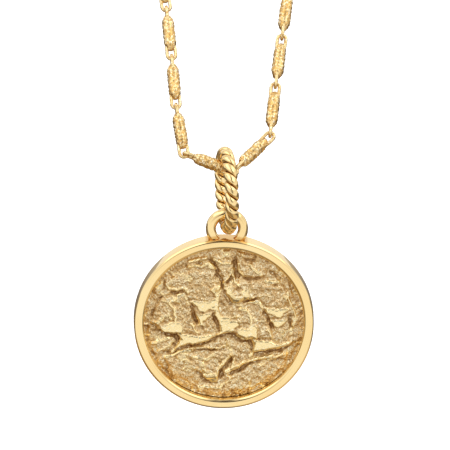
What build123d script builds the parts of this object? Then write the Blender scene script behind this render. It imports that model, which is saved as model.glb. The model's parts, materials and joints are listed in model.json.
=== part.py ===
from build123d import *
from collections import namedtuple
from math import cos, hypot, pi, radians, sin
import os

# A medallion pendant on a barrel-link chain, in millimetres.  +Z is up, the medallion faces -Y, and the
# origin is the middle of the chain at the nape of the neck, where the necklace hangs.

# Medallion frame
medallion_diameter = 25.0
frame_depth = 2.6
side_draft = 0.08
rim_width = 1.30
back_thickness = 0.8
front_edge_round = 0.38
back_edge_round = 0.30
opening_edge_round = 0.26

# Wire loop soldered on the frame
loop_play = 1.1
loop_wire_width = 1.40
loop_wire_depth = 1.5
loop_edge_round = 0.35
loop_rise = 1.15

# Cast relief plate
relief_clearance = 0.08
relief_seat_gap = 0.05
relief_base = 0.55
relief_rise = 0.70
relief_rings = 26

# Twisted bail
bail_diameter = 12.1
rope_diameter = 1.9
rope_strands = 2
strand_groove = 0.34
strand_crossings = 22
sections_per_crossing = 8
bail_turn = 7.4
bail_lean = 2.3
bail_hang_gap = 0.14

# Chain links
link_pitch = 7.2
barrel_diameter = 1.85
barrel_end_diameter = 1.4
barrel_taper = 0.9
eye_wire = 0.45
eye_play = 0.25
eye_reach = 1.7
eye_root = 0.3
eye_slack = 0.1
bail_seat_gap = 0.26

# Clasp
clasp_diameter = 3.2
clasp_end_diameter = 2.0
clasp_taper = 1.0
clasp_room = 8.0

# The whole chain lies in one plane that leans back from the vertical.
chain_lean = 37.0

# The chain's route in that plane, from where it passes through the bail: across, then up the slope.  It
# runs from the junction up the left strand, round the nape and down the right strand.
chain_route = [
    (1.02, -0.37), (-5.75, 2.08), (-6.98, 9.17), (-7.72, 16.33), (-8.60, 23.47), (-13.0, 40.0),
    (-30.0, 66.0), (-50.0, 95.0), (-58.0, 122.0), (-48.0, 152.0), (-25.0, 172.0), (0.0, 177.0),
    (25.0, 172.0), (48.0, 152.0), (58.0, 122.0), (50.0, 95.0), (30.0, 66.0), (13.0, 41.5),
    (8.30, 26.35), (7.44, 19.20), (6.62, 12.05), (5.95, 4.88), (1.02, -0.37),
]

# The relief is charted in shares of the plate's radius, x to the right and z up.  Rises and depths are shares
# of relief_rise.
Shelf = namedtuple("Shelf", "rise softness outline")
Crest = namedtuple("Crest", "rise half_width line")
Groove = namedtuple("Groove", "depth half_width line")

# Shelves of the relief: their rise, the softness of their edge, and their outline
relief_shelves = {
    "upper shelf": Shelf(0.42, 0.050, [
        (-1.1, -0.05), (-0.9, -0.07), (-0.78, -0.15), (-0.56, -0.17), (-0.52, -0.23), (-0.6, -0.36),
        (-0.48, -0.3), (-0.34, -0.27), (-0.2, -0.24), (-0.09, -0.17), (0.1, -0.1), (0.14, -0.17),
        (0.21, -0.21), (0.35, -0.21), (0.4, -0.26), (0.38, -0.37), (0.52, -0.34), (0.7, -0.31),
        (0.8, -0.28), (0.88, -0.22), (1.1, -0.2), (1.1, 1.1), (-1.1, 1.1)]),
    "left arm": Shelf(0.20, 0.040, [
        (-0.86, 0.14), (-0.8, 0.3), (-0.62, 0.35), (-0.49, 0.33), (-0.43, 0.22), (-0.38, 0.02),
        (-0.32, -0.13), (-0.5, -0.15), (-0.76, -0.12), (-0.86, -0.02)]),
    "right arm": Shelf(0.20, 0.040, [
        (0.09, 0.2), (0.14, 0.25), (0.3, 0.28), (0.44, 0.26), (0.51, 0.12), (0.56, 0), (0.61, -0.18),
        (0.42, -0.19), (0.3, -0.17), (0.16, -0.15), (0.2, 0), (0.1, 0.1)]),
    "left shoulder": Shelf(0.26, 0.050, [
        (-0.74, 0.44), (-0.62, 0.4), (-0.52, 0.42), (-0.47, 0.36), (-0.42, 0.31), (-0.28, 0.29),
        (-0.14, 0.32), (-0.12, 0.45), (-0.13, 0.64), (-0.4, 0.69), (-0.6, 0.62), (-0.74, 0.54)]),
    "right shoulder": Shelf(0.26, 0.050, [
        (0.04, 0.4), (0.1, 0.31), (0.17, 0.31), (0.24, 0.36), (0.44, 0.31), (0.52, 0.24), (0.68, 0.22),
        (0.75, 0.27), (0.79, 0.34), (0.76, 0.44), (0.68, 0.51), (0.5, 0.52), (0.4, 0.56), (0.18, 0.55),
        (0.08, 0.5)]),
    "top centre block": Shelf(0.25, 0.040, [
        (-0.17, 0.88), (0.06, 0.9), (0.07, 0.72), (0, 0.55), (-0.06, 0.68), (-0.14, 0.8)]),
    "top right block": Shelf(0.22, 0.040, [
        (0.16, 0.82), (0.34, 0.79), (0.48, 0.72), (0.5, 0.62), (0.32, 0.62), (0.2, 0.66)]),
    "top left block": Shelf(0.22, 0.040, [
        (-0.48, 0.78), (-0.22, 0.92), (-0.2, 0.84), (-0.34, 0.79), (-0.47, 0.72)]),
    "middle strip": Shelf(0.28, 0.040, [
        (-0.44, -0.33), (-0.2, -0.29), (-0.04, -0.22), (0.04, -0.24), (0.03, -0.33), (-0.2, -0.335),
        (-0.38, -0.37)]),
    "centre block": Shelf(0.30, 0.050, [
        (0.07, -0.28), (0.34, -0.29), (0.36, -0.38), (0.42, -0.46), (0.28, -0.53), (0.12, -0.6),
        (0.14, -0.46), (0.08, -0.42), (0, -0.5), (-0.1, -0.46), (0.02, -0.38)]),
    "lower left block": Shelf(0.30, 0.060, [
        (-0.7, -0.5), (-0.5, -0.4), (-0.36, -0.41), (-0.32, -0.5), (-0.1, -0.5), (0, -0.54),
        (-0.06, -0.72), (-0.2, -0.74), (-0.32, -0.64), (-0.42, -0.8), (-0.62, -0.7)]),
    "bottom right block": Shelf(0.34, 0.060, [
        (0.05, -0.73), (0.24, -0.65), (0.42, -0.54), (0.54, -0.49), (0.7, -0.52), (0.72, -0.62),
        (0.5, -0.8), (0.25, -0.9), (0.04, -0.9)]),
    "right foot block": Shelf(0.30, 0.040, [
        (0.45, -0.43), (0.58, -0.39), (0.78, -0.37), (0.79, -0.46), (0.62, -0.45), (0.48, -0.47)]),
    "left foot block": Shelf(0.20, 0.050, [
        (-0.86, -0.24), (-0.72, -0.21), (-0.6, -0.24), (-0.66, -0.38), (-0.8, -0.42)]),
}

# Crests of the relief: their rise, half their width, and their line
relief_crests = {
    "left ledge": Crest(0.35, 0.050, [(-0.41, 0.26), (-0.28, 0.24), (-0.11, 0.25)]),
    "left low ledge": Crest(0.30, 0.035, [(-0.38, 0.17), (-0.31, 0.08), (-0.18, 0.09)]),
    "spine": Crest(0.42, 0.040, [
        (-0.16, 0.56), (-0.12, 0.46), (-0.1, 0.3), (-0.08, 0.15), (-0.04, 0.05), (0.01, 0)]),
    "left tongue": Crest(0.42, 0.060, [
        (-0.48, -0.21), (-0.3, -0.2), (-0.14, -0.16), (0, -0.08), (0.06, 0)]),
    "left tongue tip": Crest(0.30, 0.025, [(-0.51, -0.24), (-0.56, -0.32), (-0.64, -0.4)]),
    "right ledge": Crest(0.35, 0.050, [(0.53, 0.2), (0.66, 0.16), (0.81, 0.14)]),
    "right low ledge": Crest(0.30, 0.035, [(0.57, 0.09), (0.64, 0.01), (0.76, 0.03)]),
    "right tongue root": Crest(0.40, 0.080, [(0.2, -0.1), (0.34, -0.12)]),
    "right tongue": Crest(0.42, 0.060, [
        (0.38, -0.17), (0.46, -0.26), (0.6, -0.26), (0.72, -0.26), (0.82, -0.23)]),
    "chin": Crest(0.25, 0.030, [(0.03, 0.42), (0.08, 0.33), (0.15, 0.3), (0.22, 0.33), (0.3, 0.34)]),
    "block crest": Crest(0.25, 0.020, [(-0.7, -0.48), (-0.6, -0.44), (-0.5, -0.385), (-0.38, -0.375)]),
    "fork crest": Crest(0.35, 0.025, [(0.1, -0.41), (0.02, -0.53), (-0.05, -0.64), (-0.07, -0.75)]),
    "slope crest": Crest(0.32, 0.022, [(0.06, -0.66), (0.12, -0.6), (0.27, -0.53), (0.42, -0.46)]),
    "low plate": Crest(0.30, 0.055, [(-0.19, -0.72), (-0.1, -0.73)]),
    "bottom crest": Crest(0.30, 0.020, [(-0.3, -0.87), (-0.1, -0.87), (-0.03, -0.885), (0, -0.83)]),
}

# Grooves of the relief: their depth, half their width, and their line
relief_grooves = {
    "left slot": Groove(0.55, 0.035, [(-0.45, 0.28), (-0.4, 0.17), (-0.35, 0.04), (-0.3, -0.07)]),
    "left slot foot": Groove(0.35, 0.035, [(-0.31, -0.06), (-0.2, -0.07)]),
    "spine slot": Groove(0.55, 0.028, [(-0.13, 0.15), (-0.1, 0.03), (-0.05, -0.1)]),
    "right slot": Groove(0.55, 0.035, [(0.5, 0.18), (0.53, 0.1), (0.59, -0.03), (0.64, -0.14)]),
    "right slot foot": Groove(0.35, 0.035, [(0.64, -0.13), (0.73, -0.12)]),
    "edge slot": Groove(0.50, 0.028, [(0.81, 0.12), (0.82, 0), (0.86, -0.1)]),
    "left seam": Groove(0.32, 0.024, [
        (-0.9, 0), (-0.87, 0.15), (-0.83, 0.29), (-0.75, 0.36), (-0.6, 0.385), (-0.52, 0.39)]),
    "right seam": Groove(0.32, 0.024, [
        (-0.02, 0.42), (0.03, 0.36), (0.08, 0.29), (0.15, 0.27), (0.24, 0.3), (0.36, 0.315),
        (0.44, 0.34)]),
    "top left seam": Groove(0.50, 0.032, [
        (-0.22, 0.86), (-0.13, 0.75), (-0.09, 0.62), (-0.03, 0.53), (-0.05, 0.44), (-0.09, 0.38)]),
    "fork seam": Groove(0.42, 0.026, [(0, 0.5), (0.05, 0.57), (0.09, 0.62)]),
    "top slot": Groove(0.60, 0.036, [(0.1, 0.95), (0.11, 0.8), (0.14, 0.67), (0.16, 0.54)]),
    "top right seam": Groove(0.42, 0.026, [(0.17, 0.87), (0.26, 0.84), (0.36, 0.82), (0.36, 0.91)]),
    "cheek seam": Groove(0.38, 0.032, [(0.5, 0.71), (0.6, 0.65), (0.68, 0.59), (0.7, 0.53)]),
    "left notch": Groove(0.42, 0.040, [(-0.98, 0.02), (-0.94, -0.02), (-0.87, -0.07), (-0.8, -0.13)]),
    "tongue undercut": Groove(0.32, 0.028, [
        (-0.58, -0.37), (-0.47, -0.325), (-0.34, -0.295), (-0.18, -0.265), (-0.07, -0.19), (0.08, -0.13),
        (0.13, -0.19), (0.21, -0.235), (0.34, -0.235), (0.38, -0.29)]),
    "right undercut": Groove(0.34, 0.030, [(0.4, -0.4), (0.52, -0.37), (0.7, -0.34), (0.84, -0.28)]),
    "fork slot": Groove(0.48, 0.036, [
        (0.11, -0.44), (0.08, -0.53), (0.01, -0.63), (-0.02, -0.74), (-0.02, -0.83)]),
    "slope undercut": Groove(0.36, 0.028, [(0.05, -0.7), (0.2, -0.63), (0.34, -0.54), (0.44, -0.49)]),
    "plate hollow": Groove(0.36, 0.042, [(-0.37, -0.64), (-0.28, -0.71), (-0.21, -0.79), (-0.06, -0.8)]),
    "block hollow": Groove(0.40, 0.032, [(-0.71, -0.53), (-0.68, -0.66)]),
    "right hollow": Groove(0.38, 0.038, [(0.86, -0.42), (0.78, -0.55)]),
}

# Sizes that follow from the ones above
medallion_radius = medallion_diameter / 2
front_radius = medallion_radius - side_draft
opening_radius = medallion_radius - rim_width
front_y = -frame_depth / 2
back_y = frame_depth / 2
recess_floor_y = back_y - back_thickness
loop_hole_radius = (rope_diameter + loop_play) / 2
loop_radius = loop_hole_radius + loop_wire_width
rope_radius = rope_diameter / 2
bail_line_radius = bail_diameter / 2 - rope_radius
eye_line_radius = (2 * eye_wire + eye_play) / 2
barrel_radius = barrel_diameter / 2

# A link turns about the tip wire of its first eye, which lies just inside the tip of the link before it.
start_reach = eye_reach - eye_wire / 2
end_reach = eye_reach - 3 * eye_wire / 2 - eye_slack
barrel_length = link_pitch - start_reach - end_reach

# The chain's plane, whose highest route point is the nape
nape_rise = max(up for across, up in chain_route)
lean = radians(chain_lean)
slope_direction = Vector(0, sin(lean), cos(lean))
bail_seat = slope_direction * -nape_rise
chain_plane = Plane(origin=bail_seat, x_dir=(1, 0, 0), z_dir=(0, -cos(lean), sin(lean)))

# The end of the barrel under the bail slants with the left strand, so the bail stands off by its radius
# over the cosine of that slant.
(junction_across, junction_up), (first_across, first_up) = chain_route[:2]
first_link = chain_plane.from_local_coords(Vector(first_across, first_up)) - chain_plane.from_local_coords(
    Vector(junction_across, junction_up))
slant_cosine = abs(first_link.X) / first_link.length
bail_line_rise = (barrel_end_diameter / 2 + rope_radius + bail_seat_gap) / slant_cosine
bail_up = Vector(0, 0, 1).rotate(Axis.Y, -bail_lean)
bail_centre = bail_seat + Vector(0, 0, bail_line_rise) - bail_up * bail_line_radius

# The frame's loop hangs on the bottom of the bail.
bail_bottom = bail_centre - bail_up * bail_line_radius
loop_centre = bail_bottom - Vector(0, 0, loop_hole_radius - rope_radius - bail_hang_gap)
medallion_centre = loop_centre - Vector(0, 0, medallion_radius + loop_rise)


def medallion_plane(y):
    """A plane across the medallion's axis, facing forward, at a depth y from the middle of the frame."""
    return Plane(origin=medallion_centre + Vector(0, y, 0), x_dir=(1, 0, 0), z_dir=(0, -1, 0))


# Frame with its loop
with BuildPart() as medallion_frame:
    with BuildSketch(Plane(origin=loop_centre, x_dir=(1, 0, 0), z_dir=(0, -1, 0))):
        Circle(loop_radius)
        Circle(loop_hole_radius, mode=Mode.SUBTRACT)
    extrude(amount=loop_wire_depth / 2, both=True)
    fillet(medallion_frame.edges().filter_by(GeomType.CIRCLE), loop_edge_round)
    with BuildSketch(Plane(origin=medallion_centre, x_dir=(0, 1, 0), z_dir=(1, 0, 0))):
        with BuildLine():
            Polyline(
                (back_y, 0), (back_y, medallion_radius), (front_y, front_radius), (front_y, 0), (back_y, 0))
        make_face()
    revolve(axis=Axis(medallion_centre, (0, 1, 0)))
    front_rim, back_rim = medallion_frame.edges().sort_by(SortBy.LENGTH)[-2:].sort_by(Axis.Y)
    fillet(front_rim, front_edge_round)
    fillet(back_rim, back_edge_round)
    with BuildSketch(medallion_plane(front_y)):
        Circle(opening_radius)
    extrude(amount=-(frame_depth - back_thickness), mode=Mode.SUBTRACT)
    face_edges = medallion_frame.faces().sort_by(Axis.Y)[0].edges()
    fillet(face_edges.sort_by(SortBy.RADIUS)[0], opening_edge_round)
medallion_frame.part.label = "medallion_frame"


def smooth_step(share):
    """Zero below 0, one above 1, and an even S between."""
    share = min(max(share, 0.0), 1.0)
    return share * share * (3 - 2 * share)


def distance_to_line(x, z, line):
    """Distance from a point to an open line of points."""
    nearest = None
    for (start_x, start_z), (end_x, end_z) in zip(line, line[1:]):
        run_x = end_x - start_x
        run_z = end_z - start_z
        along = ((x - start_x) * run_x + (z - start_z) * run_z) / (run_x ** 2 + run_z ** 2)
        along = min(max(along, 0.0), 1.0)
        distance = hypot(x - start_x - along * run_x, z - start_z - along * run_z)
        nearest = distance if nearest is None else min(nearest, distance)
    return nearest


def lies_inside(x, z, outline):
    """Whether a point lies inside a closed outline."""
    inside = False
    for (start_x, start_z), (end_x, end_z) in zip(outline, outline[1:] + outline[:1]):
        if (start_z > z) != (end_z > z):
            if x < (end_x - start_x) * (z - start_z) / (end_z - start_z) + start_x:
                inside = not inside
    return inside


def relief_height(x, z):
    """Height of the relief over its ground, as a share of relief_rise, at a place in shares of its radius."""
    height = 0.0
    for shelf in relief_shelves.values():
        distance = distance_to_line(x, z, shelf.outline + shelf.outline[:1])
        side = distance if lies_inside(x, z, shelf.outline) else -distance
        height += shelf.rise * smooth_step(0.5 + side / shelf.softness)
    crest = max(
        crest.rise * smooth_step(1.6 - 1.2 * distance_to_line(x, z, crest.line) / crest.half_width)
        for crest in relief_crests.values())
    groove = max(
        groove.depth * smooth_step(1.2 - 0.9 * distance_to_line(x, z, groove.line) / groove.half_width)
        for groove in relief_grooves.values())
    return height + crest - groove


def relief_ring(ring):
    """Points of one ring of the relief's triangles, from its middle (0) to its edge, with their heights."""
    if ring == 0:
        return [(0.0, 0.0)]
    places = 6 * ring
    share = ring / relief_rings
    return [(share * cos(2 * pi * place / places), share * sin(2 * pi * place / places))
            for place in range(places)]


def ring_triangles(ring):
    """Corner numbers of the triangles between a ring and the next one in, as (ring, place) pairs."""
    triangles = []
    for side in range(6):
        for step in range(ring):
            outer = side * ring + step
            inner = side * (ring - 1) + step
            last_inner = 6 * (ring - 1) or 1
            near = (ring, outer)
            far = (ring, (outer + 1) % (6 * ring))
            within = (ring - 1, inner % last_inner)
            triangles.append([near, far, within])
            if step < ring - 1:
                triangles.append([far, (ring - 1, (inner + 1) % last_inner), within])
    return triangles


# Relief plate, whose front is a field of triangles
relief_radius = opening_radius - relief_clearance
relief_back_y = recess_floor_y - relief_seat_gap
relief_ground_y = relief_back_y - relief_base
relief_points = {}
for ring in range(relief_rings + 1):
    for place, (x, z) in enumerate(relief_ring(ring)):
        relief_points[ring, place] = medallion_centre + Vector(
            x * relief_radius, relief_ground_y - relief_height(x, z) * relief_rise, z * relief_radius)
relief_faces = []
for ring in range(1, relief_rings + 1):
    for corners in ring_triangles(ring):
        relief_faces.append(Face(Wire.make_polygon([relief_points[corner] for corner in corners])))
rim_points = [relief_points[relief_rings, place] for place in range(6 * relief_rings)]
back_points = [Vector(point.X, medallion_centre.Y + relief_back_y, point.Z) for point in rim_points]
for place in range(len(rim_points)):
    ahead = (place + 1) % len(rim_points)
    relief_faces.append(Face(Wire.make_polygon([
        rim_points[place], rim_points[ahead], back_points[ahead], back_points[place]])))
relief_faces.append(Face(Wire.make_polygon(back_points)))
with BuildPart() as relief_disc:
    add(Solid(Shell(relief_faces)))
relief_disc.part.label = "relief_disc"

# Bail: half-round wires twisted together and bent into a closed ring, with a V groove between each two
strand_angle = 2 * pi / rope_strands
section_points = rope_strands * sections_per_crossing
bail_sections = strand_crossings * sections_per_crossing
bail_normal = Vector(1, 0, 0).rotate(Axis.Y, -bail_lean).rotate(Axis((0, 0, 0), bail_up), bail_turn)
bail_plane = Plane(origin=bail_centre, x_dir=bail_up.cross(bail_normal), z_dir=bail_normal)


def rope_outline_radius(angle):
    """Distance from the rope's middle to its outline, at an angle from the crown of the first strand."""
    from_crown = (angle + strand_angle / 2) % strand_angle - strand_angle / 2
    towards_groove = abs(from_crown) / (strand_angle / 2)
    return rope_radius - strand_groove * towards_groove ** 3


def rope_point(section, place):
    """A point on the bail: section counts round the ring, place counts round the rope."""
    round_ring = 2 * pi * section / bail_sections
    outline_angle = strand_angle * place / sections_per_crossing
    twist = strand_angle * section / sections_per_crossing
    outward = rope_outline_radius(outline_angle) * cos(outline_angle + twist)
    sideways = rope_outline_radius(outline_angle) * sin(outline_angle + twist)
    reach = bail_line_radius + outward
    return bail_plane.from_local_coords(Vector(reach * cos(round_ring), reach * sin(round_ring), sideways))


bail_faces = []
for section in range(bail_sections):
    for place in range(section_points):
        corners = [
            rope_point(section, place), rope_point(section, place + 1),
            rope_point(section + 1, place + 1), rope_point(section + 1, place)]
        bail_faces.append(Face(Wire.make_polygon([corners[0], corners[1], corners[2]])))
        bail_faces.append(Face(Wire.make_polygon([corners[0], corners[2], corners[3]])))
with BuildPart() as twisted_bail:
    add(Solid(Shell(bail_faces)))
twisted_bail.part.label = "twisted_bail"


def eyed_barrel(length, diameter, end_diameter, taper):
    """A barrel along X with a wire eye at each end, the first upright and the last flat.  The origin is the
    middle of the first eye's tip wire."""
    barrel_start = start_reach
    barrel_end = start_reach + length
    with BuildPart() as barrel:
        with BuildSketch(Plane.XZ):
            with BuildLine():
                Polyline(
                    (barrel_start, 0), (barrel_start, end_diameter / 2), (barrel_start + taper, diameter / 2),
                    (barrel_end - taper, diameter / 2), (barrel_end, end_diameter / 2), (barrel_end, 0),
                    (barrel_start, 0))
            make_face()
        revolve(axis=Axis.X)
        for eye_plane, root, outward in ((Plane.XZ, barrel_start, -1), (Plane.XY, barrel_end, 1)):
            buried = root - outward * eye_root
            bend = root + outward * (eye_reach - eye_wire / 2 - eye_line_radius)
            with BuildLine(eye_plane) as eye:
                Line((buried, eye_line_radius), (bend, eye_line_radius))
                ThreePointArc(
                    (bend, eye_line_radius), (bend + outward * eye_line_radius, 0), (bend, -eye_line_radius))
                Line((bend, -eye_line_radius), (buried, -eye_line_radius))
            with BuildSketch(Plane(origin=eye.wire() @ 0, z_dir=eye.wire() % 0)):
                Circle(eye_wire / 2)
            sweep()
    return barrel.part


def pivots_from(curve, at_start):
    """Places one link apart along half of the route, from the junction to the room left for the clasp."""
    half_length = curve.length / 2 - clasp_room / 2
    pivots = [curve.position_at(0 if at_start else 1)]
    travelled = 0.0
    while travelled + link_pitch < half_length:
        low = travelled
        high = travelled + 1.5 * link_pitch
        while high - low > 0.0001:
            middle = (low + high) / 2
            share = middle / curve.length if at_start else 1 - middle / curve.length
            if (curve.position_at(share) - pivots[-1]).length < link_pitch:
                low = middle
            else:
                high = middle
        travelled = high
        pivots.append(curve.position_at(share))
    return pivots


def link_place(start, end):
    """Where a link lies whose first eye turns at start and whose last eye holds the next link at end."""
    return Location(Plane(origin=start, x_dir=end - start, z_dir=chain_plane.z_dir))


# Chain, from the clasp down the left strand, past the junction and up the right strand
with BuildLine(chain_plane) as route_line:
    Spline(*chain_route)
route_edge = route_line.edges()[0]
left_pivots = pivots_from(route_edge, True)
right_pivots = pivots_from(route_edge, False)
chain_pivots = left_pivots[::-1] + right_pivots[1:]
link_places = [link_place(start, end) for start, end in zip(chain_pivots, chain_pivots[1:])]
link = eyed_barrel(barrel_length, barrel_diameter, barrel_end_diameter, barrel_taper)
with BuildPart() as chain:
    with Locations(*link_places):
        add(link)
chain.part.label = "chain"

# Clasp, which closes the chain at the nape
clasp_span = (chain_pivots[0] - chain_pivots[-1]).length
clasp_barrel_length = clasp_span - start_reach - end_reach
with BuildPart() as clasp:
    with Locations(link_place(chain_pivots[-1], chain_pivots[0])):
        add(eyed_barrel(clasp_barrel_length, clasp_diameter, clasp_end_diameter, clasp_taper))
clasp.part.label = "clasp"

os.makedirs("parts", exist_ok=True)
export_step(medallion_frame.part, "parts/medallion_frame.step")
export_step(relief_disc.part, "parts/relief_disc.step")
export_step(twisted_bail.part, "parts/twisted_bail.step")
export_step(chain.part, "parts/chain.step")
export_step(clasp.part, "parts/clasp.step")

print("links", len(link_places), "loop length", round(route_edge.length, 1))
print("clasp span", round(clasp_span, 2))
print("bail seat", bail_seat, "bail bottom", bail_bottom)
print("loop centre", loop_centre, "medallion centre", medallion_centre)
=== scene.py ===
"""Looks of a gold medallion pendant on a barrel-link chain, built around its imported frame."""
import json
import math

import bpy
import numpy as np
from mathutils import Matrix, Vector


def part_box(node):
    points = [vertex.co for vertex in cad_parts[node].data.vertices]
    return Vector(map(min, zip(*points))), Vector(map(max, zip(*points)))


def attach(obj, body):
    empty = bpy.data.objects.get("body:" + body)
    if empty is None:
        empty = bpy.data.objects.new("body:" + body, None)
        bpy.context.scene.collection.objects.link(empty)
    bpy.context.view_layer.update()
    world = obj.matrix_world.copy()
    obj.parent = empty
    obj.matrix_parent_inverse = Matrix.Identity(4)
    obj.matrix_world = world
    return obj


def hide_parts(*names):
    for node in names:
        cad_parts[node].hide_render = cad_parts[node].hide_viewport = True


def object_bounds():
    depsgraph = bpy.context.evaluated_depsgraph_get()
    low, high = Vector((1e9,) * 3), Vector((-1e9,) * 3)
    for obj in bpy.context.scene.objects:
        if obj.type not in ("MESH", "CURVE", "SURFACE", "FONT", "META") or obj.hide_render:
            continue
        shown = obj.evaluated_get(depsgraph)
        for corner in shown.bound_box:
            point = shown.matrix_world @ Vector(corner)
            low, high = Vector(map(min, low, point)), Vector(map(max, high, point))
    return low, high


MM = 0.001

# Places taken from the frame, in millimetres
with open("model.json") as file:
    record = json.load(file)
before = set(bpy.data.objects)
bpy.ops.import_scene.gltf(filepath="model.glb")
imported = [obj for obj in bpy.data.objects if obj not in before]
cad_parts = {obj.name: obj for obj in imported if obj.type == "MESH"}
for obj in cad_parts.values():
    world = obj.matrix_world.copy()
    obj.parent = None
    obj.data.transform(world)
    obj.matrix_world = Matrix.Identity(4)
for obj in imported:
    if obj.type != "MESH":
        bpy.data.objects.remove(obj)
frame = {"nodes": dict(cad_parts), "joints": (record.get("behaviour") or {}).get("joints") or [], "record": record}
cad_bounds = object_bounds()
record = frame["record"]
joint_places = {joint["name"]: np.array(joint["pos_m"]) / MM for joint in frame["joints"]}
mount_places = {mount["name"]: np.array(mount["pos_m"]) / MM for mount in record["mounts"]}
bail_seat = joint_places["bail_swing"]
bail_bottom = joint_places["medallion_swing"]
medallion_back = mount_places["medallion_back"]
frame_low, frame_high = [np.array(corner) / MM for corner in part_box("medallion_frame")]
relief_low, relief_high = [np.array(corner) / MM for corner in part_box("relief_disc")]

# The photograph's view: the camera looks down a little, from slightly left of the front, and is rolled.
# SEAT_PIXEL is where the ring's seat on the chain stands in the picture, across and down from its top left.
CAMERA_AZIMUTH = math.radians(-1.6)
CAMERA_ELEVATION = math.radians(18.6)
CAMERA_ROLL = math.radians(1.9)
CAMERA_LENS = 250.0
SENSOR_WIDTH = 36.0
IMAGE_PIXELS = 450
IMAGE_WIDTH_MM = 61.2
SEAT_PIXEL = (225.9, 168.9)

# Sizes of the dressed pieces, in millimetres.  OPENING_LIP is how far the opening's wall leans in above the
# relief, LOOP_RISE how far the loop's middle stands above the frame's edge, the solder shade's reach how far
# the painted shade beside the soldered loop runs to each side, EYE_NECK how far a barrel's end runs out over
# the root of its eye, and EYE_LEG_DEPTH how deep the eye's legs stand in the barrel.  The pinches, the swell,
# the painted shade in the rope's crease and the painted shades beside the loop and on the eyes are shares.
FRAME_RADIUS = (frame_high[0] - frame_low[0]) / 2
FRAME_DEPTH = frame_high[1] - frame_low[1]
SIDE_DRAFT = 0.08
RIM_WIDTH = 1.30
BACK_THICKNESS = 0.8
FRONT_EDGE_ROUND = 0.34
BACK_EDGE_ROUND = 0.30
OPENING_EDGE_ROUND = 0.44
OPENING_LIP = 0.15
LOOP_HOLE_RADIUS = 1.5
LOOP_WIRE_WIDTH = 1.40
LOOP_WIRE_DEPTH = 1.5
LOOP_EDGE_ROUND = 0.60
LOOP_RISE = 1.15
# Painted shade on the frame's side wall beside the soldered loop: its reach to each side, its fade and its
# strength
SOLDER_SHADE_REACH = 3.1
SOLDER_SHADE_FADE = 0.5
SOLDER_SHADE_STRENGTH = 0.5
RELIEF_RISE = 0.72
RELIEF_BASE = 0.55
ROPE_RADIUS = 0.94
ROPE_STRANDS = 2
STRAND_GROOVE = 0.36
STRAND_CROSSINGS = 22
# Painted shade in the grooves between the rope's strands: where it starts towards the groove and over how much it
# grows
CREASE_SHADE_START = 0.70
CREASE_SHADE_RUN = 0.28
BAIL_TURN = math.radians(7.4)
BARREL_RADIUS = 0.92
BARREL_END_RADIUS = 0.34
BARREL_TAPER = 1.05
BARREL_NUGGET = 0.55
BARREL_RUCK = 0.17
NUGGET_DEPTH = 0.11
CLASP_RADIUS = 1.58
CLASP_END_RADIUS = 0.98
CLASP_TAPER = 1.3
EYE_WIRE_RADIUS = 0.225
EYE_WIRE_SWELL = 1.08
EYE_LINE_RADIUS = 0.575
EYE_REACH = 1.7
EYE_NECK = 0.22
EYE_LEG_DEPTH = 0.75
EYE_LEG_PINCH = 0.85
EYE_ROOT_PINCH = 0.97
# Even painted shade on the eye wires, which sit between the barrels, and on the barrels' end points
EYE_SHADE = 0.30

# Fineness of the meshes: steps round or along each piece, and across the field that shades the relief
FRAME_STEPS = 288
EDGE_STEPS = 8
FRONT_EDGE_STEPS = 12
LOOP_STEPS = 120
LOOP_EDGE_STEPS = 7
RELIEF_RINGS = 164
SHADE_GRID = 300
STRAND_STEPS = 20
BARREL_ROWS = 40
BARREL_STEPS = 28
CLASP_STEPS = 48
EYE_WIRE_STEPS = 8
EYE_BEND_STEPS = 10

# Faces that meet at more than this angle keep a hard edge
TURNED_EDGE = math.radians(35)
STRAND_EDGE = math.radians(50)
ROUGH_EDGE = math.radians(60)


# Mesh and noise helpers

def build_mesh(name, points, faces, hard_edge=TURNED_EDGE):
    """A Blender object from points in millimetres and faces of corner numbers."""
    mesh = bpy.data.meshes.new(name)
    mesh.from_pydata((np.asarray(points) * MM).tolist(), [], [list(face) for face in faces])
    mesh.validate()
    mesh.shade_smooth()
    mesh.set_sharp_from_angle(angle=hard_edge)
    piece = bpy.data.objects.new(name, mesh)
    bpy.context.scene.collection.objects.link(piece)
    return piece


def ring_faces(rings, places, wrap_rings=False, first=0):
    """Quads between closed rows of points: rings rows of places points each, from point number first."""
    faces = []
    for ring in range(rings if wrap_rings else rings - 1):
        here = first + ring * places
        there = first + ((ring + 1) % rings) * places
        for place in range(places):
            ahead = (place + 1) % places
            faces.append((here + place, here + ahead, there + ahead, there + place))
    return faces


def arc_points(centre, radius, start, end, steps):
    """Points on an arc about centre in a section, from one angle to another, in degrees."""
    return [(centre[0] + radius * math.cos(angle), centre[1] + radius * math.sin(angle))
            for angle in np.radians(np.linspace(start, end, steps + 1))]


def smooth_step(share):
    """An even ramp from 0 to 1, level at both ends."""
    share = np.clip(share, 0.0, 1.0)
    return share * share * (3 - 2 * share)


def value_noise(places, cell, seed):
    """Smooth noise from about -1 to 1 at points (n, d), with lumps about cell across.

    The large odd numbers only stir the bits, so that each lattice point gets its own value."""
    spots = np.asarray(places, float) / cell
    corner = np.floor(spots).astype(np.int64)
    inner = smooth_step(spots - corner)
    total = np.zeros(len(spots))
    for offset in np.ndindex(*(2,) * spots.shape[1]):
        lattice = corner + np.array(offset)
        key = np.full(len(spots), seed * 7919 + 13, np.uint64)
        for axis in range(spots.shape[1]):
            key = (key ^ lattice[:, axis].astype(np.uint64)) * np.uint64(0x9E3779B97F4A7C15)
            key ^= key >> np.uint64(29)
        key *= np.uint64(0xBF58476D1CE4E5B9)
        key ^= key >> np.uint64(32)
        value = (key & np.uint64(0xFFFFF)).astype(float) / 0xFFFFF * 2 - 1
        weight = np.prod(np.where(np.array(offset) == 1, inner, 1 - inner), axis=1)
        total += weight * value
    return total


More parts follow.
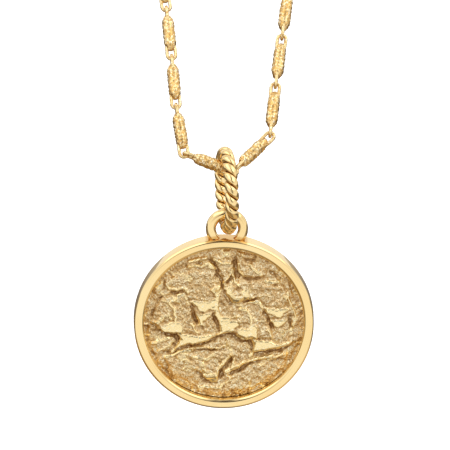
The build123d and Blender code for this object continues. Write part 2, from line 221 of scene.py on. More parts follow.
def nuggets(places, cell, seed):
    """Rounded grains about cell across, packed side by side: 1 on their tops, 0 in the creases between."""
    jitter = 0.45
    crease_width = 0.45
    spots = np.asarray(places, float) / cell
    corner = np.floor(spots).astype(np.int64)
    nearest = np.full(len(spots), np.inf)
    second = np.full(len(spots), np.inf)
    for offset in np.ndindex(*(3,) * spots.shape[1]):
        lattice = corner + np.array(offset) - 1
        grain = np.column_stack(
            [0.5 + jitter * value_noise(lattice, 1.0, seed + 97 * axis) for axis in range(spots.shape[1])])
        distance = np.linalg.norm(lattice + grain - spots, axis=1)
        second = np.minimum(second, np.maximum(distance, nearest))
        nearest = np.minimum(nearest, distance)
    return smooth_step((second - nearest) / crease_width)


def add_attribute(piece, name, values):
    """A number for each of the piece's points, which its material reads."""
    attribute = piece.data.attributes.new(name, "FLOAT", "POINT")
    attribute.data.foreach_set("value", np.asarray(values, np.float32))


# Shader maths

class Socket:
    """An output socket that takes part in Python expressions."""

    def __init__(self, shader, output):
        self.shader = shader
        self.output = output

    def math(self, operation, *others):
        return self.shader.node("ShaderNodeMath", {"operation": operation}, [self, *others])

    def __add__(self, other):
        return self.math("ADD", other)

    def __sub__(self, other):
        return self.math("SUBTRACT", other)

    def __mul__(self, other):
        return self.math("MULTIPLY", other)

    def __rsub__(self, other):
        return self.shader.node("ShaderNodeMath", {"operation": "SUBTRACT"}, [other, self])

    __radd__ = __add__
    __rmul__ = __mul__

    def ramp(self, low, high):
        """0 where this value is low, 1 where it is high, smoothly between and held beyond."""
        return self.shader.node(
            "ShaderNodeMapRange", {"interpolation_type": "SMOOTHSTEP"},
            {"Value": self, "From Min": low, "From Max": high})

    def mix(self, at_zero, at_one):
        """A colour between two others, by this value."""
        return self.shader.node(
            "ShaderNodeMix", {"data_type": "RGBA"}, {0: self, 6: at_zero, 7: at_one}, output=2)


class Shader:
    """The node tree of a material or of the world, with one way to make any node."""

    def __init__(self, owner):
        owner.use_nodes = True
        self.tree = owner.node_tree
        self.tree.nodes.clear()

    def node(self, kind, settings=None, inputs=None, output=0):
        """Makes any node: its settings first, then the values or links of its sockets."""
        node = self.tree.nodes.new(kind)
        for setting, value in (settings or {}).items():
            if setting == "stops":
                self.set_stops(node.color_ramp, value)
            else:
                setattr(node, setting, value)
        pairs = inputs.items() if isinstance(inputs, dict) else enumerate(inputs or [])
        for name, value in pairs:
            if isinstance(value, Socket):
                self.tree.links.new(value.output, node.inputs[name])
            else:
                node.inputs[name].default_value = value
        return Socket(self, node.outputs[output]) if node.outputs else None

    @staticmethod
    def set_stops(ramp, stops):
        while len(ramp.elements) < len(stops):
            ramp.elements.new(0.5)
        for element, (position, colour) in zip(ramp.elements, stops):
            element.position = position
            element.color = colour

    def attribute(self, name):
        """A number that add_attribute has given to the points of the piece."""
        return self.node("ShaderNodeAttribute", {"attribute_name": name}, output=2)

    def noise(self, scale, detail=2.0, roughness=0.5):
        """Noise at a place on the piece, from 0 to 1.  The scale is in lumps a metre."""
        place = self.node("ShaderNodeTexCoord", output=3)
        return self.node(
            "ShaderNodeTexNoise", {},
            {"Vector": place, "Scale": scale, "Detail": detail, "Roughness": roughness})

    def finish_metal(self, base_color, roughness, bump, bump_distance, bump_strength):
        """Ends a metal's tree with its colour, its roughness and its bump."""
        normal = self.node(
            "ShaderNodeBump", {},
            {"Height": bump, "Distance": bump_distance, "Strength": bump_strength})
        surface = self.node("ShaderNodeBsdfPrincipled", {}, {
            "Base Color": base_color, "Roughness": roughness, "Metallic": 1.0, "Normal": normal})
        self.node("ShaderNodeOutputMaterial", {}, {"Surface": surface})


# Tones of the gold
GOLD_LIGHT = (0.970, 0.755, 0.390, 1.0)
GOLD_WARM = (0.940, 0.690, 0.315, 1.0)
# Painted shade: a deeper gold where shade falls in creases and corners
GOLD_SHADED = (0.76, 0.46, 0.15, 1.0)
# Painted shade: brown in the deepest of the rope's creases
CREASE_SHADE_BROWN = (0.20, 0.08, 0.02, 1.0)
# Painted shade in the pits of the cast grain
CAST_PIT_SHADE = (0.64, 0.39, 0.15, 1.0)
CAST_PALE = (0.95, 0.72, 0.38, 1.0)
# Painted highlight on the cast's raised blotches
CAST_BLOTCH_HIGHLIGHT = (1.0, 0.86, 0.56, 1.0)
CAST_BURNISHED = (1.0, 0.80, 0.42, 1.0)
# Painted shade in the relief's hollows, and a darker brown in its cuts
CAST_HOLLOW_SHADE = (0.76, 0.54, 0.27, 1.0)
CAST_CUT_SHADE = (0.46, 0.28, 0.12, 1.0)
# Painted glints on the relief
CAST_PAINTED_GLINT = (1.0, 0.90, 0.62, 1.0)
LINK_GOLD = (0.95, 0.74, 0.39, 1.0)
# Painted shade in the chain's pits
LINK_PIT_SHADE = (0.58, 0.34, 0.11, 1.0)
# Painted glints on the chain
LINK_PAINTED_GLINT = (1.0, 0.92, 0.70, 1.0)

# Scales of the finishes and of the painted glints, the sparkles, in lumps a metre
TONE_DRIFT = 90.0
ORANGE_PEEL = 260.0
HAIRLINES = 2600.0
CAST_BLOTCHES = 1300.0
CAST_SPARKLES = 3300.0
CAST_GRAIN = 5200.0
LINK_PITS = 2600.0
LINK_SPARKLES = 2900.0

# Depths of the finishes' bumps, in metres
PEEL_DEPTH = 0.00003
CAST_DEPTH = 0.00010
PIT_DEPTH = 0.00014


def polished_gold():
    """Plated gold with the faint orange peel and hairlines of a buffed surface, with painted shade in its creases
    and corners: deeper gold, then brown in the deepest.
    """
    material = bpy.data.materials.new("polished_gold")
    shader = Shader(material)
    peel = shader.noise(ORANGE_PEEL)
    hairline = shader.noise(HAIRLINES, 3.0)
    tone = shader.noise(TONE_DRIFT).ramp(0.35, 0.65)
    shade_level = shader.attribute("hollow")
    buffed = tone.mix(GOLD_WARM, GOLD_LIGHT)
    # Painted shade: deeper gold, then brown, by how much shade the piece's points were given
    lightly_shaded = shade_level.ramp(0.0, 0.5).mix(buffed, GOLD_SHADED)
    base_color = shade_level.ramp(0.5, 1.0).mix(lightly_shaded, CREASE_SHADE_BROWN)
    roughness = 0.05 + hairline.ramp(0.35, 0.75) * 0.05
    shader.finish_metal(base_color, roughness, peel + hairline * 0.03, PEEL_DEPTH, 0.25)
    return material


def cast_gold():
    """Cast gold, burnished on its flats, matt and grainy on its broken faces.  Its colour carries painted shade in
    the pits of the grain and in the hollows, down to brown in the cuts, and painted highlights on raised blotches
    and in glints.
    """
    material = bpy.data.materials.new("cast_gold")
    shader = Shader(material)
    polish = shader.attribute("polish")
    hollow = shader.attribute("hollow")
    grain = shader.noise(CAST_GRAIN, 3.0, 0.6)
    # Painted glints: whitish specks with a lower roughness
    glint = shader.noise(CAST_SPARKLES).ramp(0.59, 0.65)
    blotch = shader.noise(CAST_BLOTCHES, 3.0, 0.6)
    # Lighter on raised blotches and darker in the grain's pits: painted highlight and painted shade
    pale = blotch.ramp(0.35, 0.65).mix(CAST_PALE, CAST_BLOTCH_HIGHLIGHT)
    matt_with_pit_shade = grain.ramp(0.40, 0.57).mix(CAST_PIT_SHADE, pale)
    surface = polish.mix(matt_with_pit_shade, CAST_BURNISHED)
    # Painted shade in the hollows, brown in the cuts
    lightly_shaded = hollow.ramp(0.10, 0.70).mix(surface, CAST_HOLLOW_SHADE)
    cut_shaded = hollow.ramp(0.60, 1.0).mix(lightly_shaded, CAST_CUT_SHADE)
    base_color = (glint * 0.9).mix(cut_shaded, CAST_PAINTED_GLINT)
    roughness = 0.37 - polish.math("MAXIMUM", glint) * 0.22 + grain.ramp(0.3, 0.7) * 0.06
    bump = (grain + blotch * 0.6) * (1.0 - polish * 0.85)
    shader.finish_metal(base_color, roughness, bump, CAST_DEPTH, 0.9)
    return material


def textured_gold():
    """Bright plated gold over a pitted surface, with painted shade in its pits, in the creases between its grains
    and on its eyes, and painted glints.
    """
    material = bpy.data.materials.new("textured_gold")
    shader = Shader(material)
    hollow = shader.attribute("hollow")
    pits = shader.noise(LINK_PITS, 3.0, 0.6)
    # Painted glints: whitish specks with a lower roughness
    glint = shader.noise(LINK_SPARKLES).ramp(0.58, 0.66)
    # Painted shade in the creases between grains and on the eyes, and in the pits
    lightly_shaded = hollow.ramp(0.15, 0.95).mix(LINK_GOLD, GOLD_SHADED)
    pit_shaded = (pits.ramp(0.50, 0.38) * 0.8).mix(lightly_shaded, LINK_PIT_SHADE)
    base_color = (glint * 0.8).mix(pit_shaded, LINK_PAINTED_GLINT)
    roughness = 0.20 + pits.ramp(0.35, 0.7) * 0.08 - glint * 0.10
    shader.finish_metal(base_color, roughness, pits, PIT_DEPTH, 0.6)
    return material


MATERIALS = {"polished_gold": polished_gold(), "cast_gold": cast_gold(), "textured_gold": textured_gold()}


def dress(piece, slot, body, node):
    """Gives a piece its material, hangs it on the body it rides on and hides the imported node it stands for."""
    piece.data.materials.clear()
    piece.data.materials.append(MATERIALS[slot])
    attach(piece, body)
    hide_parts(node)


# Frame with its soldered loop

def frame_section():
    """The frame's section as (radius, depth) points, depth running back from its front face."""
    outer = FRAME_RADIUS
    front_outer = FRAME_RADIUS - SIDE_DRAFT
    opening = FRAME_RADIUS - RIM_WIDTH
    lip = opening - OPENING_LIP + OPENING_EDGE_ROUND
    floor = FRAME_DEPTH - BACK_THICKNESS
    points = [(0.0, floor), (opening, floor), (opening, floor - RELIEF_BASE)]
    points += arc_points((lip, OPENING_EDGE_ROUND), OPENING_EDGE_ROUND, 180, 270, EDGE_STEPS)
    points += arc_points(
        (front_outer - FRONT_EDGE_ROUND, FRONT_EDGE_ROUND), FRONT_EDGE_ROUND, 270, 360,
        FRONT_EDGE_STEPS)
    points += arc_points(
        (outer - BACK_EDGE_ROUND, FRAME_DEPTH - BACK_EDGE_ROUND), BACK_EDGE_ROUND, 0, 90, EDGE_STEPS)
    points.append((0.0, FRAME_DEPTH))
    return points


def lathe(name, section, centre, start_y):
    """A closed solid turned about the Y axis through centre.  The section starts and ends on the axis."""
    angles = np.linspace(0, 2 * math.pi, FRAME_STEPS, endpoint=False)
    inner = section[1:-1]
    points = [
        (centre[0] + radius * math.sin(angle), start_y + depth, centre[2] + radius * math.cos(angle))
        for radius, depth in inner for angle in angles]
    faces = ring_faces(len(inner), FRAME_STEPS)
    first_pole = len(points)
    points.append((centre[0], start_y + section[0][1], centre[2]))
    points.append((centre[0], start_y + section[-1][1], centre[2]))
    last_row = (len(inner) - 1) * FRAME_STEPS
    for place in range(FRAME_STEPS):
        ahead = (place + 1) % FRAME_STEPS
        faces.append((first_pole, ahead, place))
        faces.append((first_pole + 1, last_row + place, last_row + ahead))
    return build_mesh(name, points, faces)


def loop_section():
    """The loop wire's section, nearly round with narrow flats, as points across and along the axis."""
    corner_across = LOOP_WIRE_WIDTH / 2 - LOOP_EDGE_ROUND
    corner_along = LOOP_WIRE_DEPTH / 2 - LOOP_EDGE_ROUND
    points = []
    for across, along, start in ((1, 1, 0), (-1, 1, 90), (-1, -1, 180), (1, -1, 270)):
        corner = (across * corner_across, along * corner_along)
        points += arc_points(corner, LOOP_EDGE_ROUND, start, start + 90, LOOP_EDGE_STEPS)
    return points


def loop_mesh(centre):
    """The loop's whole ring of wire, before the part inside the frame is cut off."""
    line_radius = LOOP_HOLE_RADIUS + LOOP_WIRE_WIDTH / 2
    section = loop_section()
    points = []
    for angle in np.linspace(0, 2 * math.pi, LOOP_STEPS, endpoint=False):
        for across, along in section:
            reach = line_radius + across
            points.append((centre[0] + reach * math.sin(angle), centre[1] + along,
                           centre[2] + reach * math.cos(angle)))
    return build_mesh("frame_loop", points, ring_faces(LOOP_STEPS, len(section), wrap_rings=True))


def combine(piece, other, operation):
    """Cuts or joins another closed mesh into a piece and removes that other."""
    modifier = piece.modifiers.new("combine", "BOOLEAN")
    modifier.operation = operation
    modifier.solver = "EXACT"
    modifier.object = other
    with bpy.context.temp_override(object=piece, active_object=piece, selected_objects=[piece]):
        bpy.ops.object.modifier_apply(modifier=modifier.name)
    bpy.data.objects.remove(other)


def solder_shade(spots):
    """Painted shade on the frame's side wall beside the soldered loop, where the loop's foot meets it, which ends
    at the back's round edge.
    """
    from_side = np.abs(np.hypot(spots[:, 0], spots[:, 2]) - FRAME_RADIUS)
    near_side = smooth_step(1.2 - from_side / SOLDER_SHADE_FADE)
    beside_loop = smooth_step((SOLDER_SHADE_REACH - np.abs(spots[:, 0])) / SOLDER_SHADE_FADE) * (spots[:, 2] > 0)
    before_back = smooth_step((FRAME_DEPTH / 2 - spots[:, 1]) / BACK_EDGE_ROUND)
    return SOLDER_SHADE_STRENGTH * near_side * beside_loop * before_back


def make_frame():
    """The turned frame with its loop soldered on.  A plug cuts off the part of the loop inside the frame."""
    front_y = frame_low[1]
    centre = np.array([medallion_back[0], (frame_low[1] + frame_high[1]) / 2, medallion_back[2]])
    rim = lathe("frame_and_loop", frame_section(), centre, front_y)
    loop = loop_mesh(centre + np.array([0, 0, FRAME_RADIUS + LOOP_RISE]))
    plug_radius = FRAME_RADIUS - RIM_WIDTH / 2
    plug_depth = 3 * FRAME_DEPTH
    plug_section = [(0.0, 0.0), (plug_radius, 0.0), (plug_radius, plug_depth), (0.0, plug_depth)]
    plug = lathe("plug", plug_section, centre, front_y - FRAME_DEPTH)
    combine(loop, plug, "DIFFERENCE")
    combine(rim, loop, "UNION")
    rim.data.shade_smooth()
    rim.data.set_sharp_from_angle(angle=TURNED_EDGE)
    spots = np.zeros(3 * len(rim.data.vertices))
    rim.data.vertices.foreach_get("co", spots)
    # Painted shade where the loop's foot meets the frame
    add_attribute(rim, "hollow", solder_shade(spots.reshape(-1, 3) / MM - centre))
    dress(rim, "polished_gold", "medallion", "medallion_frame")


# Relief plate: an abstract rocky cast surface, charted in shares of its radius, x to the right
# and z up.  Rises and depths are shares of RELIEF_RISE, weighed by kind.
SHELF_WEIGHT = 1.15
CREST_WEIGHT = 1.35
GROOVE_WEIGHT = 0.92
PLATE_SOFTNESS = 0.028
BURNISH_SOFTNESS = 0.020
DULLER_BURNISH = 0.85
MOAT_DEPTH = 0.20
MOAT_START = 0.935
MOAT_SOFTNESS = 0.05

# name: (rise, softness of the edge, outline)
SHELVES = {
    "upper shelf": (0.42, 0.050, [
        (-1.1, -0.05), (-0.9, -0.07), (-0.78, -0.15), (-0.56, -0.17), (-0.52, -0.23), (-0.6, -0.36),
        (-0.48, -0.3), (-0.34, -0.27), (-0.2, -0.24), (-0.09, -0.17), (0.1, -0.1), (0.14, -0.17),
        (0.21, -0.21), (0.35, -0.21), (0.4, -0.26), (0.38, -0.37), (0.52, -0.34), (0.7, -0.31),
        (0.8, -0.28), (0.88, -0.22), (1.1, -0.2), (1.1, 1.1), (-1.1, 1.1)]),
    "left bank": (0.20, 0.040, [
        (-0.86, 0.14), (-0.8, 0.3), (-0.62, 0.35), (-0.49, 0.33), (-0.43, 0.22), (-0.38, 0.02),
        (-0.32, -0.13), (-0.5, -0.15), (-0.76, -0.12), (-0.86, -0.02)]),
    "right bank": (0.20, 0.040, [
        (0.09, 0.2), (0.14, 0.25), (0.3, 0.28), (0.44, 0.26), (0.51, 0.12), (0.56, 0), (0.61, -0.18),
        (0.42, -0.19), (0.3, -0.17), (0.16, -0.15), (0.2, 0), (0.1, 0.1)]),
    "left hump": (0.26, 0.050, [
        (-0.74, 0.44), (-0.62, 0.4), (-0.52, 0.42), (-0.47, 0.36), (-0.42, 0.31), (-0.28, 0.29),
        (-0.14, 0.32), (-0.12, 0.45), (-0.13, 0.64), (-0.4, 0.69), (-0.6, 0.62), (-0.74, 0.54)]),
    "right hump": (0.26, 0.050, [
        (0.04, 0.4), (0.1, 0.31), (0.17, 0.31), (0.24, 0.36), (0.44, 0.31), (0.52, 0.24), (0.68, 0.22),
        (0.75, 0.27), (0.79, 0.34), (0.76, 0.44), (0.68, 0.51), (0.5, 0.52), (0.4, 0.56), (0.18, 0.55),
        (0.08, 0.5)]),
    "top centre block": (0.25, 0.040, [
        (-0.17, 0.88), (0.06, 0.9), (0.07, 0.72), (0, 0.55), (-0.06, 0.68), (-0.14, 0.8)]),
    "top right block": (0.22, 0.040, [
        (0.16, 0.82), (0.34, 0.79), (0.48, 0.72), (0.5, 0.62), (0.32, 0.62), (0.2, 0.66)]),
    "top edge block": (0.25, 0.030, [(0.14, 0.94), (0.34, 0.91), (0.32, 0.86), (0.17, 0.89)]),
    "top left block": (0.22, 0.040, [
        (-0.48, 0.78), (-0.22, 0.92), (-0.2, 0.84), (-0.34, 0.79), (-0.47, 0.72)]),
    "middle strip": (0.28, 0.040, [
        (-0.44, -0.33), (-0.2, -0.29), (-0.04, -0.22), (0.04, -0.24), (0.03, -0.33), (-0.2, -0.335),
        (-0.38, -0.37)]),
    "centre block": (0.30, 0.050, [
        (0.07, -0.28), (0.34, -0.29), (0.36, -0.38), (0.42, -0.46), (0.28, -0.53), (0.12, -0.6),
        (0.14, -0.46), (0.08, -0.42), (0, -0.5), (-0.1, -0.46), (0.02, -0.38)]),
    "lower left block": (0.30, 0.060, [
        (-0.7, -0.5), (-0.5, -0.4), (-0.36, -0.41), (-0.32, -0.5), (-0.1, -0.5), (0, -0.54),
        (-0.06, -0.72), (-0.2, -0.74), (-0.32, -0.64), (-0.42, -0.8), (-0.62, -0.7)]),
    "bottom right block": (0.34, 0.060, [
        (0.05, -0.73), (0.24, -0.65), (0.42, -0.54), (0.54, -0.49), (0.7, -0.52), (0.72, -0.62),
        (0.5, -0.8), (0.25, -0.9), (0.04, -0.9)]),
    "right foot block": (0.30, 0.040, [
        (0.45, -0.43), (0.58, -0.39), (0.78, -0.37), (0.79, -0.46), (0.62, -0.45), (0.48, -0.47)]),
    "left foot block": (0.20, 0.050, [
        (-0.86, -0.24), (-0.72, -0.21), (-0.6, -0.24), (-0.66, -0.38), (-0.8, -0.42)]),
}

# name: (rise, outline), flat and burnished
PLATES = {
    "left ledge": (0.36, [
        (-0.43, 0.27), (-0.27, 0.27), (-0.12, 0.3), (-0.09, 0.27), (-0.08, 0.16), (-0.12, 0.18),
        (-0.17, 0.2), (-0.23, 0.16), (-0.29, 0.16), (-0.33, 0.21), (-0.39, 0.24)]),
    "spine top": (0.38, [
        (-0.16, 0.44), (-0.1, 0.49), (-0.06, 0.48), (-0.06, 0.42), (-0.09, 0.37), (-0.09, 0.28),
        (-0.12, 0.29), (-0.12, 0.38)]),
    "spine strip": (0.40, [
        (-0.12, 0.18), (-0.08, 0.16), (-0.04, 0.08), (0.07, 0.07), (0.08, -0.04), (-0.03, -0.04),
        (-0.07, 0.06)]),
    "left low ledge": (0.30, [
        (-0.35, 0.1), (-0.3, 0.09), (-0.16, 0.12), (-0.17, 0.09), (-0.24, 0.04), (-0.28, 0.03),
        (-0.25, -0.03), (-0.3, -0.03)]),
    "top crest plate": (0.30, [(-0.22, 0.8), (-0.19, 0.8), (-0.15, 0.75), (-0.12, 0.7), (-0.21, 0.73)]),
    "left tongue": (0.42, [
        (-0.57, -0.16), (-0.39, -0.17), (-0.29, -0.19), (-0.2, -0.18), (-0.07, -0.14), (-0.02, -0.11),
        (-0.03, 0.02), (0.07, 0.03), (0.08, -0.06), (-0.03, -0.14), (-0.12, -0.2), (-0.2, -0.24),
        (-0.39, -0.27), (-0.49, -0.3), (-0.56, -0.34), (-0.54, -0.26), (-0.53, -0.2)]),
    "left bank foot": (0.30, [
        (-0.81, -0.09), (-0.73, -0.05), (-0.67, 0), (-0.55, 0), (-0.53, -0.09), (-0.54, -0.15),
        (-0.62, -0.13), (-0.7, -0.12)]),
    "centre": (0.38, [
        (-0.05, 0.02), (0.2, 0.03), (0.18, -0.02), (0.11, -0.09), (0.02, -0.13), (-0.04, -0.15)]),
    "right tongue": (0.42, [
        (0.21, -0.07), (0.3, -0.09), (0.36, -0.01), (0.39, -0.01), (0.41, -0.12), (0.39, -0.22),
        (0.53, -0.23), (0.6, -0.24), (0.65, -0.27), (0.74, -0.26), (0.85, -0.23), (0.85, -0.26),
        (0.78, -0.29), (0.6, -0.34), (0.43, -0.37), (0.4, -0.37), (0.4, -0.3), (0.38, -0.25),
        (0.32, -0.2), (0.21, -0.19), (0.16, -0.17)]),
    "right ledge": (0.36, [
        (0.51, 0.22), (0.59, 0.21), (0.64, 0.18), (0.73, 0.2), (0.78, 0.22), (0.78, 0.19), (0.72, 0.16),
        (0.69, 0.1), (0.64, 0.11), (0.6, 0.15), (0.56, 0.16)]),
    "right low ledge": (0.30, [(0.58, 0.05), (0.77, 0.05), (0.67, -0.04), (0.63, -0.02)]),
    "small chip": (0.22, [(0.27, 0.37), (0.31, 0.36), (0.36, 0.34), (0.34, 0.32), (0.29, 0.32)]),
    "far right chip": (0.24, [(0.79, 0.4), (0.8, 0.36), (0.76, 0.34), (0.75, 0.36)]),
    "low plate": (0.32, [
        (-0.24, -0.71), (-0.17, -0.7), (-0.07, -0.68), (-0.07, -0.78), (-0.12, -0.79), (-0.18, -0.77)]),
}

# name: (rise, half width, line)
CRESTS = {
    "hooked crest": (0.25, 0.045, [
        (0.05, 0.43), (0.07, 0.34), (0.13, 0.3), (0.2, 0.32), (0.26, 0.37), (0.24, 0.42)]),
    "left tongue tip": (0.30, 0.020, [(-0.53, -0.26), (-0.56, -0.32), (-0.64, -0.4)]),
    "left rib": (0.22, 0.016, [(-0.69, 0.26), (-0.63, 0.19), (-0.6, 0.08), (-0.61, -0.1)]),
    "right rib": (0.22, 0.016, [(0.2, 0.21), (0.27, 0.2), (0.31, 0.14), (0.33, 0.03), (0.34, -0.07)]),
    "left lip": (0.24, 0.014, [(-0.4, -0.01), (-0.36, -0.06), (-0.32, -0.13)]),
    "right lip": (0.24, 0.014, [(0.54, -0.08), (0.57, -0.12), (0.61, -0.19)]),
    "left brink": (0.16, 0.018, [(-0.58, 0.355), (-0.5, 0.36), (-0.46, 0.29), (-0.42, 0.22)]),
    "right brink": (0.16, 0.018, [(0.32, 0.285), (0.42, 0.28), (0.47, 0.21), (0.52, 0.19)]),
    "top crest": (0.24, 0.018, [(-0.46, 0.74), (-0.3, 0.74), (-0.2, 0.8)]),
    "upper thorn": (0.26, 0.016, [(0.15, 0.78), (0.17, 0.7), (0.23, 0.63)]),
    "small thorn": (0.26, 0.014, [(0.1, 0.64), (0.13, 0.55), (0.17, 0.52)]),
    "fork thorn": (0.24, 0.014, [(-0.02, 0.53), (0.02, 0.58), (0.07, 0.66), (0.08, 0.7)]),
    "chip crest": (0.20, 0.022, [(0.5, 0.57), (0.6, 0.55), (0.66, 0.56)]),
    "right edge rib": (0.22, 0.016, [
        (0.79, 0.42), (0.82, 0.3), (0.86, 0.2), (0.89, 0.1), (0.86, 0.02), (0.84, -0.12)]),
    "strip crest": (0.22, 0.014, [
        (-0.44, -0.36), (-0.34, -0.335), (-0.15, -0.33), (-0.03, -0.35), (0.03, -0.32), (0.04, -0.25)]),
    "block crest": (0.24, 0.016, [(-0.7, -0.48), (-0.6, -0.44), (-0.5, -0.385), (-0.38, -0.375)]),
    "fold crest": (0.20, 0.018, [(-0.38, -0.45), (-0.28, -0.49), (-0.18, -0.49), (-0.1, -0.43)]),
    "fork crest": (0.32, 0.020, [(0.1, -0.41), (0.02, -0.53), (-0.05, -0.64), (-0.07, -0.75)]),
    "slope crest": (0.30, 0.022, [(0.06, -0.66), (0.12, -0.6), (0.27, -0.53), (0.42, -0.46), (0.6, -0.42)]),
    "slope stub": (0.26, 0.016, [(0.12, -0.6), (0.13, -0.48)]),
    "spur crest": (0.24, 0.016, [(0.33, -0.43), (0.38, -0.38), (0.4, -0.34)]),
    "bottom crest": (0.26, 0.016, [(-0.3, -0.87), (-0.1, -0.87), (-0.03, -0.885), (0, -0.83)]),
    "left wrinkle": (0.20, 0.016, [(-0.88, -0.3), (-0.75, -0.25), (-0.64, -0.22)]),
    "left low wrinkle": (0.20, 0.016, [(-0.8, -0.4), (-0.68, -0.33), (-0.62, -0.27)]),
    "left hook": (0.20, 0.018, [(-0.84, -0.02), (-0.76, 0.06), (-0.7, 0.1), (-0.66, 0.06)]),
    "bank wrinkle": (0.16, 0.014, [(-0.76, 0.28), (-0.68, 0.26), (-0.6, 0.3)]),
    "hump wrinkle": (0.18, 0.016, [
        (-0.74, 0.5), (-0.68, 0.44), (-0.58, 0.42), (-0.5, 0.46), (-0.46, 0.4)]),
    "top wrinkle": (0.20, 0.014, [(-0.46, 0.8), (-0.34, 0.84), (-0.24, 0.86)]),
    "top block line": (0.18, 0.014, [(-0.14, 0.84), (-0.04, 0.78), (0.06, 0.8)]),
    "right wrinkle": (0.18, 0.016, [(0.3, 0.78), (0.38, 0.7), (0.44, 0.64)]),
    "foot wrinkle": (0.20, 0.016, [(0.46, -0.45), (0.6, -0.47), (0.74, -0.4)]),
}

# name: (depth, half width, line)
GROOVES = {
    "left slot": (0.55, 0.035, [(-0.45, 0.28), (-0.4, 0.17), (-0.35, 0.04), (-0.3, -0.07)]),
    "left slot foot": (0.35, 0.035, [(-0.31, -0.06), (-0.2, -0.07)]),
    "spine slot": (0.55, 0.028, [(-0.13, 0.15), (-0.1, 0.03), (-0.05, -0.1)]),
    "right slot": (0.55, 0.035, [(0.5, 0.18), (0.53, 0.1), (0.59, -0.03), (0.64, -0.14)]),
    "right slot foot": (0.35, 0.035, [(0.64, -0.13), (0.73, -0.12)]),
    "edge slot": (0.50, 0.028, [(0.81, 0.12), (0.82, 0), (0.86, -0.1)]),
    "left seam": (0.32, 0.024, [
        (-0.9, 0), (-0.87, 0.15), (-0.83, 0.29), (-0.75, 0.36), (-0.6, 0.385), (-0.52, 0.39)]),
    "right seam": (0.32, 0.024, [
        (-0.02, 0.42), (0.03, 0.36), (0.08, 0.29), (0.15, 0.27), (0.24, 0.3), (0.36, 0.315),
        (0.44, 0.34)]),
    "top left seam": (0.50, 0.032, [
        (-0.22, 0.86), (-0.13, 0.75), (-0.09, 0.62), (-0.03, 0.53), (-0.05, 0.44), (-0.09, 0.38)]),
    "fork seam": (0.42, 0.026, [(0, 0.5), (0.05, 0.57), (0.09, 0.62)]),
    "top slot": (0.60, 0.036, [(0.1, 0.95), (0.11, 0.8), (0.14, 0.67), (0.16, 0.54)]),
    "top right seam": (0.42, 0.026, [(0.17, 0.87), (0.26, 0.84), (0.36, 0.82), (0.36, 0.91)]),
    "hump seam": (0.30, 0.024, [(0.19, 0.61), (0.32, 0.59), (0.46, 0.59)]),
    "chip seam": (0.38, 0.032, [(0.5, 0.71), (0.6, 0.65), (0.68, 0.59), (0.7, 0.53)]),
    "crown seam": (0.25, 0.016, [(0.5, 0.53), (0.62, 0.51), (0.72, 0.52), (0.77, 0.44)]),
    "left pit": (0.40, 0.024, [(-0.17, 0.39), (-0.14, 0.33)]),
    "right pit": (0.40, 0.024, [(0.14, 0.48), (0.15, 0.45)]),
    "left notch": (0.42, 0.040, [(-0.98, 0.02), (-0.94, -0.02), (-0.87, -0.07), (-0.8, -0.13)]),
    "left undercut": (0.30, 0.028, [(-0.78, -0.17), (-0.64, -0.19), (-0.56, -0.21), (-0.56, -0.27)]),
    "tongue undercut": (0.32, 0.028, [
        (-0.58, -0.37), (-0.47, -0.325), (-0.34, -0.295), (-0.18, -0.265), (-0.07, -0.19), (0.08, -0.13),
        (0.13, -0.19), (0.21, -0.235), (0.34, -0.235), (0.38, -0.29)]),
    "right undercut": (0.34, 0.030, [(0.4, -0.4), (0.52, -0.37), (0.7, -0.34), (0.84, -0.28)]),
    "fork slot": (0.48, 0.036, [
        (0.11, -0.44), (0.08, -0.53), (0.01, -0.63), (-0.02, -0.74), (-0.02, -0.83)]),
    "slope undercut": (0.36, 0.028, [(0.05, -0.7), (0.2, -0.63), (0.34, -0.54), (0.44, -0.49)]),
    "strip undercut": (0.32, 0.022, [(-0.36, -0.37), (-0.22, -0.355), (-0.05, -0.375)]),
    "fold undercut": (0.26, 0.026, [(-0.34, -0.51), (-0.18, -0.525), (-0.13, -0.48)]),
    "plate hollow": (0.36, 0.042, [(-0.37, -0.64), (-0.28, -0.71), (-0.21, -0.79), (-0.06, -0.8)]),
    "block hollow": (0.40, 0.032, [(-0.71, -0.53), (-0.68, -0.66)]),
    "crest undercut": (0.26, 0.022, [(-0.66, -0.5), (-0.52, -0.42)]),
    "right hollow": (0.38, 0.038, [(0.86, -0.42), (0.78, -0.55)]),
    "right gap": (0.30, 0.030, [(0.82, 0.58), (0.86, 0.42), (0.91, 0.3)]),
    "top left gap": (0.38, 0.035, [(-0.72, 0.6), (-0.6, 0.69), (-0.5, 0.74)]),
    "top left shadow": (0.30, 0.022, [(-0.44, 0.77), (-0.3, 0.78)]),
}

# Crests that wear has burnished all over
BURNISHED = {
    "hooked crest", "left tongue tip", "left rib", "right rib", "left lip", "right lip",
    "fork crest", "slope crest", "bottom crest", "block crest", "upper thorn", "small thorn",
}


def line_distance(x, z, line):
    """Distance to a line of straight runs."""
    nearest = np.full(x.shape, np.inf)
    for (start_x, start_z), (end_x, end_z) in zip(line, line[1:]):
        run_x, run_z = end_x - start_x, end_z - start_z
        run_squared = run_x ** 2 + run_z ** 2
        along = np.clip(((x - start_x) * run_x + (z - start_z) * run_z) / run_squared, 0, 1)
        nearest = np.minimum(nearest, np.hypot(x - start_x - along * run_x, z - start_z - along * run_z))
    return nearest


def inside_outline(x, z, outline):
    """Whether places lie inside a closed outline, by counting the sides to their right."""
    inside = np.zeros(x.shape, bool)
    for (start_x, start_z), (end_x, end_z) in zip(outline, outline[1:] + outline[:1]):
        if start_z != end_z:
            crossing = (end_x - start_x) * (z - start_z) / (end_z - start_z) + start_x
            inside ^= ((start_z > z) != (end_z > z)) & (x < crossing)
    return inside


def outline_reach(x, z, outline):
    """Distance to a closed outline, positive inside it."""
    distance = line_distance(x, z, outline + outline[:1])
    return np.where(inside_outline(x, z, outline), distance, -distance)


